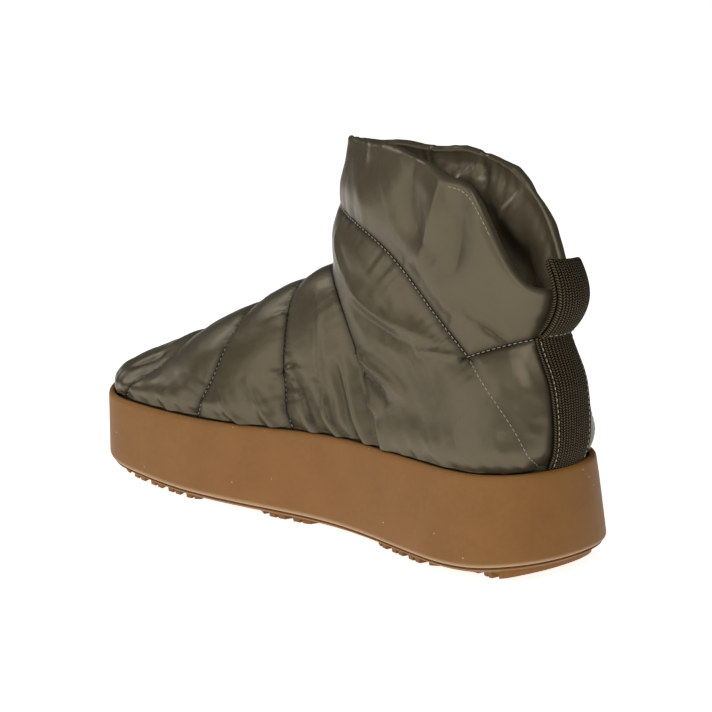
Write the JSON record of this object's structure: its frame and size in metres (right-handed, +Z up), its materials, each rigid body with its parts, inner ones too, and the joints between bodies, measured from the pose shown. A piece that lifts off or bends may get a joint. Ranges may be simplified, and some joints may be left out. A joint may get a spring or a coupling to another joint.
{
  "type": "low boot",
  "caption": "Right-foot low boot with a padded, quilted hollow upper, a gum platform cup sole with a zigzag tread, a footbed, a woven heel strap and a pull loop.",
  "frame": {"origin": "on the ground, under the middle of the boot's bounding box", "axes": "+X runs from heel to toe, +Y to the medial side of this right boot, +Z up"},
  "size_m": [0.269, 0.1, 0.1748],
  "materials": {
    "gum_tread": "matte moulded gum",
    "gum_rubber": "matte moulded gum with pale specks",
    "footbed_cloth": "matte cloth over foam",
    "quilted_nylon": "satin woven, padded",
    "strap_webbing": "matte ribbed webbing",
    "loop_webbing": "matte ribbed webbing"
  },
  "bodies": {
    "root": {"outsole": "gum_tread", "midsole": "gum_rubber", "insole": "footbed_cloth", "upper": "quilted_nylon", "heel_strap": "strap_webbing", "pull_loop": "loop_webbing"}
  },
  "joints": []
}
